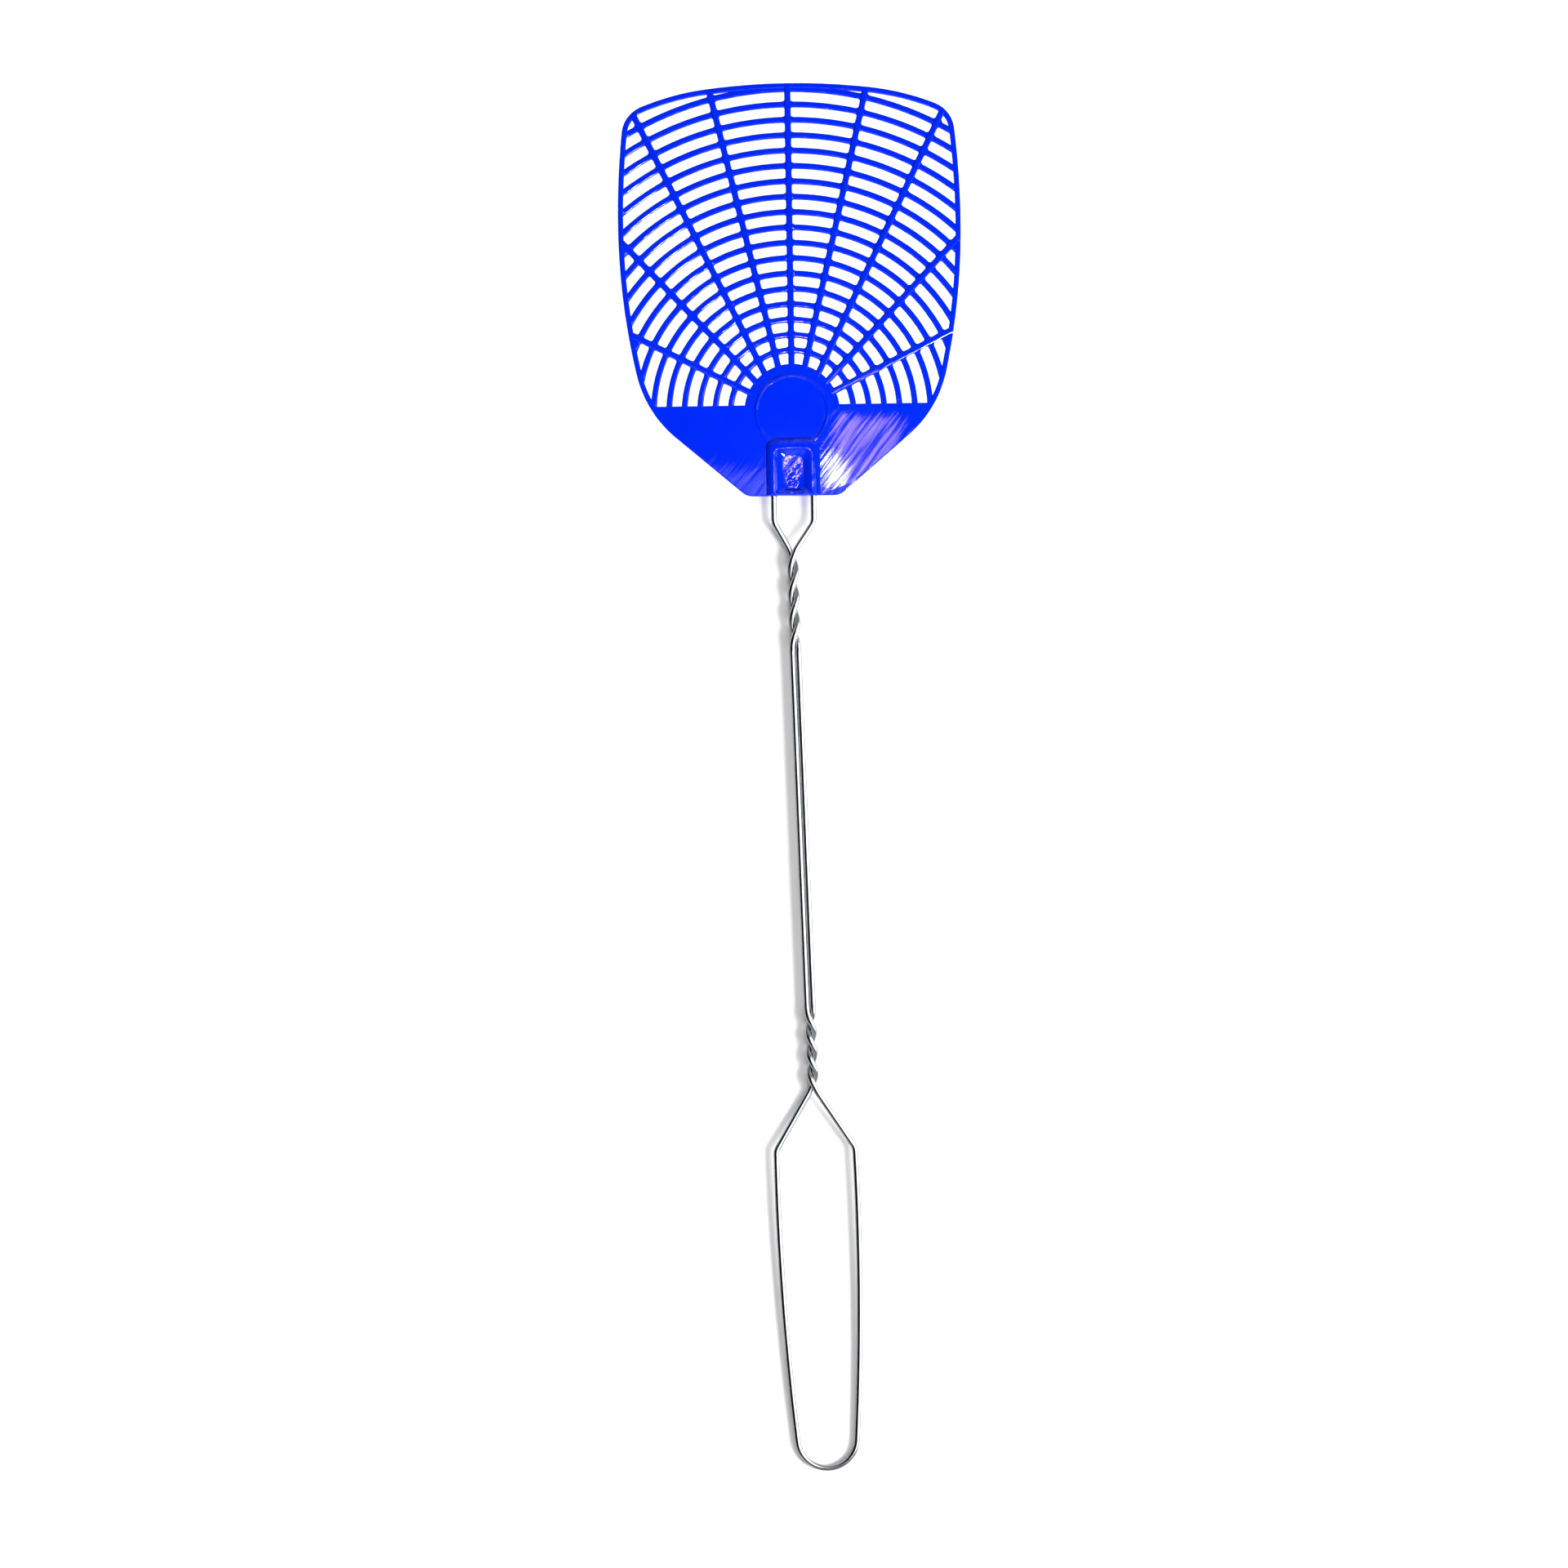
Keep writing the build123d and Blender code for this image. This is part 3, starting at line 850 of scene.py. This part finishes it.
def blue_plastic():
    """Glossy blue polyethylene, with faint flow streaks and a speckled recess."""
    material, tree, principled = shader("blue_polyethylene")
    place = tree.nodes.new("ShaderNodeTexCoord").outputs["Object"]
    tone = ranged(tree, noise(tree, place, 45.0), 0.0, 1.0)
    colour = two_tone(tree, tone, *PLASTIC_TONES)
    tree.links.new(colour, principled.inputs["Base Color"])
    gloss = ranged(tree, noise(tree, place, 220.0), *PLASTIC_ROUGHNESS)
    tree.links.new(gloss, principled.inputs["Roughness"])
    streaks = noise(tree, place, 900.0, 2.0, STREAK_STRETCH, STREAK_TURN)
    ripple = noise(tree, place, 60.0, 1.0)
    speckle = noise(tree, place, 480.0, 3.0)
    for band in SPECKLE_BOX:
        speckle = maths(tree, "MULTIPLY", speckle, within(tree, place, *band))
    normal = bump(tree, ripple, RIPPLE_DEPTH)
    normal = bump(tree, streaks, STREAK_DEPTH, normal)
    normal = bump(tree, speckle, SPECKLE_DEPTH, normal)
    tree.links.new(normal, principled.inputs["Normal"])
    level = ranged(tree, streaks, *STREAK_GLOSS, *STREAK_NOISE)
    tree.links.new(level, principled.inputs["Specular IOR Level"])
    principled.inputs["IOR"].default_value = 1.5
    return material


def zinc_wire():
    """Bright zinc-plated steel with fine lines along the wire."""
    material, tree, principled = shader("zinc_plated_steel")
    attribute = tree.nodes.new("ShaderNodeAttribute")
    attribute.attribute_name = "wire_place"
    along = attribute.outputs["Vector"]
    place = tree.nodes.new("ShaderNodeTexCoord").outputs["Object"]
    tone = ranged(tree, noise(tree, place, 130.0), 0.0, 1.0)
    colour = two_tone(tree, tone, *WIRE_TONES)
    tree.links.new(colour, principled.inputs["Base Color"])
    lines = noise(tree, along, 6.0, 3.0, WIRE_LINE_STRETCH)
    tree.links.new(ranged(tree, lines, *WIRE_ROUGHNESS), principled.inputs["Roughness"])
    tree.links.new(bump(tree, lines, WIRE_LINE_DEPTH), principled.inputs["Normal"])
    principled.inputs["Metallic"].default_value = 1.0
    return material


def floor_white():
    """Plain white paper, see-through from behind so that the swatter's back can be looked at.

    Far from the lights it glows a little, so that it stays as pale as it is near them.
    """
    material, tree, principled = shader("white_paper")
    principled.inputs["Roughness"].default_value = 0.9
    principled.inputs["Specular IOR Level"].default_value = 0.0
    place = tree.nodes.new("ShaderNodeTexCoord").outputs["Object"]
    grain = ranged(tree, noise(tree, place, 30.0), 0.0, 1.0)
    colour = two_tone(tree, grain, *PAPER_TONES)
    tree.links.new(colour, principled.inputs["Base Color"])
    away = tree.nodes.new("ShaderNodeVectorMath")
    away.operation = "LENGTH"
    tree.links.new(place, away.inputs[0])
    glow = ranged(tree, away.outputs["Value"], 0.0, SKY_SEEN, *FLOOR_GLOW)
    tree.links.new(glow, principled.inputs["Emission Strength"])
    clear = tree.nodes.new("ShaderNodeBsdfTransparent")
    facing = tree.nodes.new("ShaderNodeNewGeometry")
    mix = tree.nodes.new("ShaderNodeMixShader")
    output = tree.nodes["Material Output"]
    tree.links.new(facing.outputs["Backfacing"], mix.inputs[0])
    tree.links.new(principled.outputs["BSDF"], mix.inputs[1])
    tree.links.new(clear.outputs["BSDF"], mix.inputs[2])
    tree.links.new(mix.outputs["Shader"], output.inputs["Surface"])
    return material


# ---------------------------------------------------------------- stage
def make_floor():
    bm = bmesh.new()
    half = FLOOR_SIZE / 2
    corners = ((-half, -half), (half, -half), (half, half), (-half, half))
    bm.faces.new([bm.verts.new((x, y, -FLOOR_DROP)) for x, y in corners])
    mesh = bpy.data.meshes.new("floor")
    bm.to_mesh(mesh)
    bm.free()
    floor = bpy.data.objects.new("floor", mesh)
    bpy.context.scene.collection.objects.link(floor)
    mesh.materials.append(floor_white())
    return floor


def make_sky():
    """A dark tent with bright ends, beyond the blade's tip and beyond the grip.

    The camera sees it white all over.
    """
    world = bpy.data.worlds.new("tent")
    bpy.context.scene.world = world
    world.use_nodes = True
    tree = world.node_tree
    background = tree.nodes["Background"]
    place = tree.nodes.new("ShaderNodeTexCoord").outputs["Generated"]
    parts = tree.nodes.new("ShaderNodeSeparateXYZ")
    tree.links.new(place, parts.inputs["Vector"])
    ramp = tree.nodes.new("ShaderNodeValToRGB")
    tree.links.new(parts.outputs["Z"], ramp.inputs["Fac"])
    for element, (height, level) in zip(ramp.color_ramp.elements, SKY_LEVELS):
        element.position = height
        element.color = (level, level, level, 1)
    ends = ranged(tree, maths(tree, "ABSOLUTE", parts.outputs["Y"]), 0.0, SKY_ENDS, *SKY_ENDS_RANGE)
    lit = maths(tree, "ADD", ramp.outputs["Color"], ends)
    seen = tree.nodes.new("ShaderNodeLightPath").outputs["Is Camera Ray"]
    shown = two_tone(tree, seen, (0, 0, 0), (SKY_SEEN, SKY_SEEN, SKY_SEEN))
    tree.links.new(lit, shown.node.inputs[6])
    tree.links.new(shown, background.inputs["Color"])


def area_light(name, place, aim, power, width, height=None):
    data = bpy.data.lights.new(name, "AREA")
    data.energy = power
    data.size = width
    if height:
        data.shape = "RECTANGLE"
        data.size_y = height
    light = bpy.data.objects.new(name, data)
    light.location = place
    light.rotation_euler = (Vector(aim) - Vector(place)).to_track_quat("-Z", "Y").to_euler()
    light.visible_camera = False
    bpy.context.scene.collection.objects.link(light)
    return light


def linked(light, lit, blockers=()):
    """The light falls on these objects only, and only the blockers, if any, cast its shadows."""
    receivers = bpy.data.collections.new(f"{light.name}_lit")
    for piece in lit:
        receivers.objects.link(piece)
    light.light_linking.receiver_collection = receivers
    if blockers:
        shadows = bpy.data.collections.new(f"{light.name}_blockers")
        for piece in blockers:
            shadows.objects.link(piece)
        light.light_linking.blocker_collection = shadows


def unit_towards(elevation, bearing):
    """Unit vector at an elevation and a bearing from +X, both in degrees."""
    up = radians(elevation)
    round_z = radians(bearing)
    return Vector((cos(up) * cos(round_z), cos(up) * sin(round_z), sin(up)))


def make_lights(floor, blade, wire):
    """Key lights for floor and blade, softboxes overhead, two fill lights and small panels.

    The floor and the blade have a key light each and the wire has a softbox of its own. Only
    the wire casts a key shadow on the floor, so the floor stays white behind the grille.
    """
    middle = Vector((0, 0, 0))
    key = area_light("key_on_floor", unit_towards(*KEY_ON_FLOOR_FROM) * KEY_DISTANCE, middle,
                     KEY_ON_FLOOR, KEY_ON_FLOOR_SIZE)
    linked(key, [floor], [wire])
    key = area_light("key_on_blade", unit_towards(*KEY_ON_BLADE_FROM) * KEY_DISTANCE, middle,
                     KEY_ON_BLADE, KEY_ON_BLADE_SIZE)
    linked(key, [blade])
    area_light("softbox", SOFTBOX_PLACE, middle, SOFTBOX_POWER, *SOFTBOX_SIZE)
    softbox = area_light("softbox_on_wire", WIRE_SOFTBOX_PLACE, middle,
                         WIRE_SOFTBOX_POWER, *WIRE_SOFTBOX_SIZE)
    linked(softbox, [wire])
    for name, y in (("fill_foot", -FILL_Y), ("fill_top", FILL_Y)):
        linked(area_light(name, (0, y, FILL_HEIGHT), middle, FILL_POWER, *FILL_SIZE), [floor])
    camera = bpy.context.scene.camera.location
    for name, (x, y), (width, height), power, colour in PANELS:
        on_blade = Vector((x * MM, (HUB_Y + y) * MM, 0))
        mirrored = Vector((2 * on_blade.x - camera.x, 2 * on_blade.y - camera.y, camera.z))
        light = area_light(name, mirrored, on_blade, power, 2 * width * MM, 2 * height * MM)
        light.rotation_euler = (0, 0, 0)
        light.data.color = colour


def make_camera():
    """Looks straight down on the swatter, rolled a little so that the blade leans left."""
    low, high = cad_box
    data = bpy.data.cameras.new("camera")
    data.lens = LENS
    data.sensor_width = SENSOR
    camera = bpy.data.objects.new("camera", data)
    camera.location = (
        (low.x + high.x) / 2 + LOOK_OFFSET[0],
        (low.y + high.y) / 2 + LOOK_OFFSET[1],
        FRAME_WIDTH * LENS / SENSOR,
    )
    camera.rotation_euler = (0, 0, -ROLL)
    bpy.context.scene.collection.objects.link(camera)
    bpy.context.scene.camera = camera


make_camera()
make_sky()
make_lights(make_floor(), make_blade(blue_plastic()), make_wire(zinc_wire()))
bpy.context.scene.view_settings.view_transform = "Standard"
